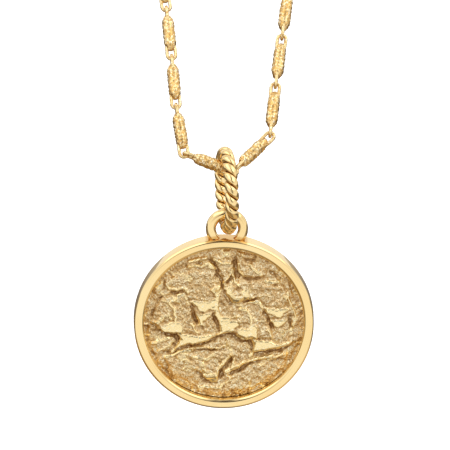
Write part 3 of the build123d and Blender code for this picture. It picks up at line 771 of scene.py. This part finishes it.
def relief_form(x, z):
    """Height and burnish of the charted relief, both as shares, at places in shares of its radius.

    Each form fades out smoothly over its softness or its width, and a groove is shallower at its ends."""
    height = np.zeros(x.shape)
    for rise, softness, outline in SHELVES.values():
        height += rise * smooth_step(0.5 + outline_reach(x, z, outline) / softness)
    raised = np.zeros(x.shape)
    burnish = np.zeros(x.shape)
    for rise, outline in PLATES.values():
        reach = outline_reach(x, z, outline)
        raised = np.maximum(raised, rise * smooth_step(0.9 + reach / PLATE_SOFTNESS))
        burnish = np.maximum(burnish, smooth_step(0.9 + reach / BURNISH_SOFTNESS))
    for name, (rise, half_width, line) in CRESTS.items():
        nearness = smooth_step(1.5 - line_distance(x, z, line) / half_width)
        raised = np.maximum(raised, CREST_WEIGHT * rise * nearness)
        burnish = np.maximum(burnish, (1.0 if name in BURNISHED else DULLER_BURNISH) * nearness)
    groove = np.zeros(x.shape)
    for depth, half_width, line in GROOVES.values():
        to_first_end = np.hypot(x - line[0][0], z - line[0][1])
        to_last_end = np.hypot(x - line[-1][0], z - line[-1][1])
        taper = 0.35 + 0.65 * smooth_step(np.minimum(to_first_end, to_last_end) / (3 * half_width))
        nearness = smooth_step(1.1 - 0.95 * line_distance(x, z, line) / half_width)
        groove = np.maximum(groove, taper * depth * nearness)
    moat = MOAT_DEPTH * smooth_step((np.hypot(x, z) - MOAT_START) / MOAT_SOFTNESS)
    return SHELF_WEIGHT * height + raised - GROOVE_WEIGHT * groove - moat, burnish


def relief_surface(x, z):
    """Height and burnish of the relief with its lumps, creases, strokes, grain and veins.

    In the calls of nuggets and value_noise, the first number is the size of a lump in shares of the
    relief's radius, and the second is a seed."""
    places = np.column_stack([x, z])
    warp_x = 0.014 * value_noise(places, 0.09, 1) + 0.008 * value_noise(places, 0.035, 2)
    warp_z = 0.014 * value_noise(places, 0.09, 3) + 0.008 * value_noise(places, 0.035, 4)
    height, burnish = relief_form(x + warp_x, z + warp_z)
    warped = places + 2.2 * np.column_stack([warp_x, warp_z])
    rough = 1 - 0.92 * burnish
    height += rough * 0.17 * (nuggets(warped, 0.20, 31) - 0.7)
    height += rough * 0.10 * (nuggets(warped, 0.085, 32) - 0.7)
    height += (0.12 + 0.88 * rough) * 0.12 * value_noise(warped, 0.13, 5)
    height -= rough * 0.12 * np.abs(value_noise(warped, 0.075, 6))
    height += rough * 0.10 * value_noise(places, 0.034, 7)
    height += rough * 0.06 * value_noise(places, 0.016, 9)
    strokes = np.column_stack([0.16 * x + 0.19 * z, 0.77 * x - 0.64 * z])
    low_right = smooth_step((x - z - 0.5) / 0.35)
    height += rough * low_right * 0.10 * value_noise(strokes, 0.022, 10)
    vein = smooth_step(1.15 - np.abs(value_noise(warped, 0.15, 11)) / 0.13)
    vein *= rough * smooth_step(0.75 + 1.5 * value_noise(places, 0.16, 12))
    return height + 0.15 * vein, np.maximum(burnish, DULLER_BURNISH * vein)


def blurred_field(field, reach):
    """A square field with each value averaged over its neighbours, up to reach away, a few times over."""
    passes = 3
    for _ in range(passes):
        for axis in (0, 1):
            padded = np.concatenate([
                np.repeat(field.take([0], axis), reach, axis), field,
                np.repeat(field.take([-1], axis), reach + 1, axis)], axis)
            total = np.cumsum(padded, axis)
            width = 2 * reach + 1
            high = total.take(range(width, width + field.shape[axis]), axis)
            low = total.take(range(field.shape[axis]), axis)
            field = (high - low) / width
    return field


def sample_field(field, x, z):
    """Values between the points of a square field that spans -1 to 1 each way."""
    size = field.shape[0]
    column = np.clip((x + 1) / 2 * (size - 1), 0, size - 1.001)
    row = np.clip((z + 1) / 2 * (size - 1), 0, size - 1.001)
    left, low = column.astype(int), row.astype(int)
    across, up = column - left, row - low
    return ((field[low, left] * (1 - across) + field[low, left + 1] * across) * (1 - up)
            + (field[low + 1, left] * (1 - across) + field[low + 1, left + 1] * across) * up)


def disc_of_rings(rings):
    """A disc of even triangles: places in shares of its radius, faces, and the first point of its edge."""
    x, z = [np.zeros(1)], [np.zeros(1)]
    for ring in range(1, rings + 1):
        angle = np.arange(6 * ring) * math.pi / (3 * ring)
        x.append(ring / rings * np.cos(angle))
        z.append(ring / rings * np.sin(angle))
    first = [0] + [1 + 3 * ring * (ring - 1) for ring in range(1, rings + 1)]
    faces = []
    for ring in range(1, rings + 1):
        places, inner_places = 6 * ring, max(6 * (ring - 1), 1)
        for side in range(6):
            for step in range(ring):
                outer = side * ring + step
                inner = side * (ring - 1) + step
                near = first[ring] + outer
                far = first[ring] + (outer + 1) % places
                within = first[ring - 1] + inner % inner_places
                faces.append((near, far, within))
                if step < ring - 1:
                    faces.append((far, first[ring - 1] + (inner + 1) % inner_places, within))
    return np.concatenate(x), np.concatenate(z), faces, first[rings]


def relief_hollow_shade(x, z, height):
    """Painted shade in the relief's hollows: how deep places lie below the relief close round them and farther
    round, with more painted shade towards the edge under the rim.
    """
    near_reach = 4
    wide_reach = 11
    shade_gain = 1.6
    grid = np.linspace(-1, 1, SHADE_GRID)
    field_x, field_z = [axis.ravel() for axis in np.meshgrid(grid, grid)]
    field = relief_surface(field_x, field_z)[0].reshape(SHADE_GRID, SHADE_GRID)
    near_mean = sample_field(blurred_field(field, near_reach), x, z)
    wide_mean = sample_field(blurred_field(field, wide_reach), x, z)
    edge_shade = 0.12 * smooth_step((np.hypot(x, z) - 0.93) / 0.05)
    return np.clip(
        shade_gain * (near_mean - height) + shade_gain * (wide_mean - height) + edge_shade, 0, 1)


def make_relief():
    """The cast plate: the relief in front, a straight edge and a flat back."""
    radius = (relief_high[0] - relief_low[0]) / 2
    centre_x, centre_z = medallion_back[0], medallion_back[2]
    back_y = relief_high[1]
    ground_y = back_y - RELIEF_BASE
    x, z, faces, edge_first = disc_of_rings(RELIEF_RINGS)
    height, burnish = relief_surface(x, z)
    points = np.column_stack([centre_x + x * radius, ground_y - height * RELIEF_RISE, centre_z + z * radius])
    back = points[edge_first:].copy()
    back[:, 1] = back_y
    back_first = len(points)
    places = len(back)
    for place in range(places):
        ahead = (place + 1) % places
        faces.append((edge_first + ahead, edge_first + place, back_first + place, back_first + ahead))
    faces.append(tuple(back_first + place for place in range(places)))
    plate = build_mesh("relief_plate", np.vstack([points, back]), faces, ROUGH_EDGE)
    unshaded = np.zeros(places)
    # Painted shade in the relief's hollows and towards its edge under the rim
    add_attribute(plate, "hollow", np.concatenate([relief_hollow_shade(x, z, height), unshaded]))
    add_attribute(plate, "polish", np.concatenate([burnish, unshaded]))
    dress(plate, "cast_gold", "medallion", "relief_disc")


# Twisted bail

def towards_groove(angle):
    """How far an angle round the rope is from the crown of its strand, from 0 to 1 in the groove."""
    strand_angle = 2 * math.pi / ROPE_STRANDS
    from_crown = (angle + strand_angle / 2) % strand_angle - strand_angle / 2
    return abs(from_crown) / (strand_angle / 2)


def make_bail():
    """Two wires twisted together, worn to one round outside, and bent into a closed ring.

    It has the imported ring's middle, and the rope's line runs through the joint of the medallion."""
    sections = STRAND_CROSSINGS * STRAND_STEPS
    places = ROPE_STRANDS * STRAND_STEPS
    step = 2 * math.pi / places
    bail_low, bail_high = [np.array(corner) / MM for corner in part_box("twisted_bail")]
    centre = (bail_low + bail_high) / 2
    up = centre - bail_bottom
    line_radius = np.linalg.norm(up)
    up /= line_radius
    level = np.cross((0.0, 1.0, 0.0), up)
    side = level * math.cos(BAIL_TURN) + np.cross(up, level) * math.sin(BAIL_TURN)
    forward = np.cross(up, side)
    points = []
    hollow = []
    for section in range(sections):
        round_ring = 2 * math.pi * section / sections
        outward = math.cos(round_ring) * forward + math.sin(round_ring) * up
        for place in range(places):
            groove = towards_groove(place * step)
            reach = ROPE_RADIUS - STRAND_GROOVE * groove ** 3
            twist = (place + section) * step
            points.append(centre + (line_radius + reach * math.cos(twist)) * outward
                          + reach * math.sin(twist) * side)
            # Painted shade in the grooves between the strands
            hollow.append(smooth_step((groove - CREASE_SHADE_START) / CREASE_SHADE_RUN))
    faces = ring_faces(sections, places)
    # Where the ring closes, the rope has turned by whole strands, so its places are joined that far round
    last = (sections - 1) * places
    for place in range(places):
        ahead = (place + 1) % places
        faces.append((last + place, last + ahead, (ahead + sections) % places, (place + sections) % places))
    bail = build_mesh("twisted_ring", points, faces, STRAND_EDGE)
    add_attribute(bail, "hollow", hollow)
    dress(bail, "polished_gold", "bail", "twisted_bail")


# Chain

def loose_solids(node):
    """Point arrays of a node's separate solids, in millimetres, found by following its faces."""
    mesh = frame["nodes"][node].data
    places = np.zeros(len(mesh.vertices) * 3)
    mesh.vertices.foreach_get("co", places)
    places = places.reshape(-1, 3) / MM
    mesh.calc_loop_triangles()
    corners = np.zeros(len(mesh.loop_triangles) * 3, np.int64)
    mesh.loop_triangles.foreach_get("vertices", corners)
    _, same = np.unique(np.round(places, 4), axis=0, return_inverse=True)
    corners = same.ravel()[corners].reshape(-1, 3)
    labels = np.arange(corners.max() + 1)
    while True:
        least = labels[corners].min(1)
        before = labels.copy()
        for column in range(3):
            np.minimum.at(labels, corners[:, column], least)
        labels = labels[labels]
        if (labels == before).all():
            break
    point_labels = labels[same.ravel()]
    return [places[point_labels == label] for label in np.unique(point_labels)]


def link_frames(solids):
    """For each link: the middle of its first eye's tip wire, its length between tips and its axes."""
    centres = np.array([(solid.max(0) + solid.min(0)) / 2 for solid in solids])
    normal = np.linalg.svd(centres - centres.mean(0))[2][2]
    normal *= -math.copysign(1, normal[1])
    tip_reach = 0.5
    found = []
    for solid in solids:
        middle = solid.mean(0)
        along = np.linalg.svd(solid - middle, full_matrices=False)[2][0]
        along -= normal * (along @ normal)
        along /= np.linalg.norm(along)
        reach = (solid - middle) @ along
        spread = (solid - middle) @ normal
        start_spread = np.ptp(spread[reach < reach.min() + tip_reach])
        end_spread = np.ptp(spread[reach > reach.max() - tip_reach])
        if start_spread < end_spread:
            along, reach = -along, -reach
        flat = np.cross(normal, along)
        sideways = (solid - middle) @ flat
        middle = (middle + along * (reach.max() + reach.min()) / 2
                  + normal * (spread.max() + spread.min()) / 2
                  + flat * (sideways.max() + sideways.min()) / 2)
        length = np.ptp(reach)
        tip = middle - along * (length / 2 - EYE_WIRE_RADIUS)
        found.append((tip, length, along, flat, normal))
    return found


def tube(path, sides, radius, start_axis):
    """Points of a round tube along a path that lies in one plane across start_axis."""
    path = np.asarray(path)
    run = np.gradient(path, axis=0)
    run /= np.linalg.norm(run, axis=1)[:, None]
    across = np.cross(run, start_axis)
    points = []
    for centre, side in zip(path, across):
        for angle in np.linspace(0, 2 * math.pi, sides, endpoint=False):
            points.append(centre + radius * (math.cos(angle) * side + math.sin(angle) * np.array(start_axis)))
    return points


def eye_path(root, outward, plane_axis):
    """The line of a wire eye whose legs leave a barrel's end at root."""
    other = np.array([0, 0, 1.0]) if plane_axis == 2 else np.array([0, 1.0, 0])
    bend = root + outward * (EYE_REACH - EYE_WIRE_RADIUS - EYE_LINE_RADIUS)
    path = [np.array([root - outward * EYE_LEG_DEPTH, 0, 0]) + other * EYE_LINE_RADIUS * EYE_LEG_PINCH,
            np.array([root, 0, 0]) + other * EYE_LINE_RADIUS * EYE_ROOT_PINCH,
            np.array([(root + bend) / 2, 0, 0]) + other * EYE_LINE_RADIUS]
    for angle in np.linspace(0, math.pi, EYE_BEND_STEPS + 1):
        path.append(np.array([bend + outward * EYE_LINE_RADIUS * math.sin(angle), 0, 0])
                    + other * EYE_LINE_RADIUS * math.cos(angle))
    return path + [spot * np.array([1, -1, -1]) for spot in path[2::-1]]


def barrel_shape(start, end, radius, end_radius, taper, seed, texture):
    """Points, faces and painted shade of a barrel along X with domed ends.

    Texture is the depth of its nugget pattern, and 0 leaves it smooth."""
    rows = BARREL_ROWS
    sides = BARREL_STEPS if texture else CLASP_STEPS
    along = np.linspace(start, end, rows)
    angle = np.linspace(0, 2 * math.pi, sides, endpoint=False)
    grid_along, grid_angle = [axis.ravel() for axis in np.meshgrid(along, angle, indexing="ij")]
    grid_angle += np.repeat(np.arange(rows) % 2, sides) * math.pi / sides
    from_end = np.minimum(grid_along - start, end - grid_along)
    dome = np.sin(np.clip(from_end / taper, 0, 1) * math.pi / 2) ** 0.75
    reach = end_radius + (radius - end_radius) * dome
    ring = np.column_stack([grid_along, reach * np.cos(grid_angle), reach * np.sin(grid_angle)])
    depth = np.zeros(len(ring))
    hollow = np.zeros(len(ring))
    if texture:
        grains = nuggets(ring, BARREL_NUGGET, seed)
        ruck = value_noise(ring, BARREL_RUCK, seed + 900)
        depth = texture * (1 - grains) + 0.3 * texture * (1 + ruck)
        # Painted shade in the creases between the grains
        hollow = np.clip(1.1 * (1 - grains) - 0.35 * ruck, 0, 1)
    points = np.column_stack([
        grid_along, (reach - depth) * np.cos(grid_angle), (reach - depth) * np.sin(grid_angle)])
    points = np.vstack([points, [[start, 0, 0], [end, 0, 0]]])
    faces = ring_faces(rows, sides)
    for place in range(sides):
        ahead = (place + 1) % sides
        faces.append((rows * sides, place, ahead))
        faces.append((rows * sides + 1, (rows - 1) * sides + ahead, (rows - 1) * sides + place))
    # The middle points of the domed ends take the eyes' painted shade
    return points, faces, np.concatenate([hollow, [EYE_SHADE, EYE_SHADE]])


def link_shape(length, radius, end_radius, taper, seed, texture):
    """Points, faces and painted shade of one link along X, from its first eye's tip wire at the origin."""
    start = EYE_REACH - EYE_WIRE_RADIUS
    end = length - 2 * EYE_WIRE_RADIUS - start
    points, faces, hollow = barrel_shape(
        start - EYE_NECK, end + EYE_NECK, radius, end_radius, taper + EYE_NECK, seed, texture)
    points, hollow = [points], [hollow]
    total = len(points[0])
    sides = EYE_WIRE_STEPS
    for root, outward, plane_axis in ((start, -1, 2), (end, 1, 1)):
        path = eye_path(root, outward, plane_axis)
        normal = (0, 1, 0) if plane_axis == 2 else (0, 0, 1)
        wire = tube(path, sides, EYE_WIRE_RADIUS * EYE_WIRE_SWELL, normal)
        faces = faces + ring_faces(len(path), sides, first=total)
        faces.append(tuple(total + place for place in range(sides))[::-1])
        faces.append(tuple(total + (len(path) - 1) * sides + place for place in range(sides)))
        points.append(np.array(wire))
        # The eye wires, between the barrels, get an even painted shade
        hollow.append(np.full(len(wire), EYE_SHADE))
        total += len(wire)
    return np.vstack(points), faces, np.concatenate(hollow)


def place_links(name, node, slot, radius, end_radius, taper, texture):
    """One mesh of all the links of a node, each with its own grains."""
    points, faces, hollow = [], [], []
    total = 0
    for number, (tip, length, along, flat, normal) in enumerate(link_frames(loose_solids(node))):
        link_points, link_faces, link_painted_shade = link_shape(
            length, radius, end_radius, taper, 11 + number, texture)
        points.append(tip + link_points @ np.array([along, flat, normal]))
        faces += [tuple(total + corner for corner in face) for face in link_faces]
        hollow.append(link_painted_shade)
        total += len(link_points)
    piece = build_mesh(name, np.vstack(points), faces, ROUGH_EDGE)
    add_attribute(piece, "hollow", np.concatenate(hollow))
    dress(piece, slot, "necklace", node)


make_frame()
make_relief()
make_bail()
place_links(
    "chain_links", "chain", "textured_gold", BARREL_RADIUS, BARREL_END_RADIUS, BARREL_TAPER, NUGGET_DEPTH)
place_links("clasp_barrel", "clasp", "polished_gold", CLASP_RADIUS, CLASP_END_RADIUS, CLASP_TAPER, 0.0)


# Stage: a pale floor far below, the studio round the piece and the camera

# Sizes of the floor, in millimetres
FLOOR_DROP = 160.0
FLOOR_HALF_WIDTH = 12000.0

# Brightness of the studio by pitch in degrees: 0 is level in front of the medallion, 90 is straight up,
# -90 straight down, and -180 and 180 are level behind it
TENT = [
    (-180, 0.50), (-164, 0.20), (-130, 0.18), (-62, 0.18), (-42, 0.36), (-28, 1.04), (-5, 1.04),
    (50, 1.00), (90, 0.85), (135, 0.90), (160, 1.05), (180, 0.95)]
TENT_STRENGTH = 2.0
BOX_WHITE = (0.90, 0.90, 0.90, 1.0)
LOW_LEFT_BROWN = (0.17, 0.12, 0.06, 1.0)
LOW_RIGHT_TAN = (0.34, 0.27, 0.18, 1.0)
FRONT_SHADE = (0.14, 0.09, 0.05, 1.0)
COLUMN_DARK = (0.02, 0.012, 0.006, 1.0)


def make_floor():
    """A pale floor, far enough below to leave no shadow.  Polished metal doesn't mirror it."""
    half = FLOOR_HALF_WIDTH
    level = cad_bounds[0][2] / MM - FLOOR_DROP
    corners = [(-half, -half, level), (half, -half, level), (half, half, level), (-half, half, level)]
    floor = build_mesh("floor", corners, [(0, 1, 2, 3)])
    material = bpy.data.materials.new("pale_floor")
    shader = Shader(material)
    surface = shader.node("ShaderNodeBsdfPrincipled", {}, {
        "Base Color": (0.95, 0.95, 0.94, 1.0), "Roughness": 0.9, "Specular IOR Level": 0.0,
        "Emission Color": (1.0, 1.0, 0.985, 1.0), "Emission Strength": 0.35})
    shader.node("ShaderNodeOutputMaterial", {}, {"Surface": surface})
    floor.data.materials.append(material)
    floor.visible_glossy = False


def warmed(value):
    """A grey of this value, warmer the darker it is, as gold's own reflections are."""
    warmth = 1 - min(value / 0.35, 1.0)
    return (value * (1 + 0.15 * warmth), value * (1 - 0.12 * warmth), value * (1 - 0.40 * warmth), 1.0)


def make_world():
    """A white tent, dark below and low behind, with two bright boxes high in front, left and right.

    A dark upright column, broken up as by clutter, stands in the middle of the front, and the rest of the
    front is a little shaded at eye level."""
    world = bpy.data.worlds.new("studio")
    bpy.context.scene.world = world
    shader = Shader(world)
    direction = shader.node("ShaderNodeTexCoord", output=0)
    across, depth, height = [
        shader.node("ShaderNodeSeparateXYZ", {}, [direction], output=axis) for axis in range(3)]
    aside = across.math("ABSOLUTE")
    pitch = height.math("ARCTAN2", depth * -1.0) * (180 / math.pi)
    tent = shader.node(
        "ShaderNodeValToRGB",
        {"stops": [((angle + 180) / 360, warmed(value / TENT_STRENGTH)) for angle, value in TENT]},
        [(pitch + 180.0) * (1 / 360.0)])
    clutter = shader.node("ShaderNodeTexNoise", {}, {"Vector": direction, "Scale": 5.0, "Detail": 2.0})
    column = pitch.ramp(-14.0, -6.0) * pitch.ramp(70.0, 58.0) * aside.ramp(0.22, 0.08)
    column = column * clutter.ramp(0.34, 0.50)
    shade = pitch.ramp(-12.0, 0.0) * pitch.ramp(36.0, 20.0) * aside.ramp(0.60, 0.40)
    box_width = aside.ramp(0.20, 0.28) * aside.ramp(0.84, 0.76)
    boxes = height.ramp(0.42, 0.50) * height.ramp(0.97, 0.90) * box_width * depth.ramp(0.45, 0.30)
    low_left = height.ramp(-0.40, -0.55) * across.ramp(-0.04, -0.20)
    low_right = height.ramp(-0.45, -0.60) * across.ramp(0.0, 0.4)
    darkened = low_left.mix(tent, LOW_LEFT_BROWN)
    lit = low_right.mix(darkened, LOW_RIGHT_TAN)
    boxed = boxes.mix(lit, BOX_WHITE)
    shaded = (shade * 0.3).mix(boxed, FRONT_SHADE)
    studio = column.mix(shaded, COLUMN_DARK)
    background = shader.node("ShaderNodeBackground", {}, {"Color": studio, "Strength": TENT_STRENGTH})
    shader.node("ShaderNodeOutputWorld", {}, {"Surface": background})


def make_camera():
    """A long lens that frames the piece as the photograph does."""
    azimuth, elevation = CAMERA_AZIMUTH, CAMERA_ELEVATION
    back = Vector((math.sin(azimuth) * math.cos(elevation), -math.cos(azimuth) * math.cos(elevation),
                   math.sin(elevation)))
    level = Vector((math.cos(azimuth), math.sin(azimuth), 0))
    upright = back.cross(level)
    right = math.cos(CAMERA_ROLL) * level + math.sin(CAMERA_ROLL) * upright
    up = math.cos(CAMERA_ROLL) * upright - math.sin(CAMERA_ROLL) * level
    pixel = IMAGE_WIDTH_MM / IMAGE_PIXELS
    across = (SEAT_PIXEL[0] - IMAGE_PIXELS / 2) * pixel
    above = (IMAGE_PIXELS / 2 - SEAT_PIXEL[1]) * pixel
    middle = Vector(bail_seat) - across * right - above * up
    distance = IMAGE_WIDTH_MM * CAMERA_LENS / SENSOR_WIDTH
    data = bpy.data.cameras.new("camera")
    data.lens = CAMERA_LENS
    data.sensor_width = SENSOR_WIDTH
    data.clip_start, data.clip_end = 0.01, 20.0
    camera = bpy.data.objects.new("camera", data)
    bpy.context.scene.collection.objects.link(camera)
    rotation = Matrix((right, up, back)).transposed()
    camera.matrix_world = Matrix.Translation((middle + distance * back) * MM) @ rotation.to_4x4()
    bpy.context.scene.camera = camera


make_floor()
make_world()
make_camera()
bpy.context.scene.view_settings.view_transform = "Standard"
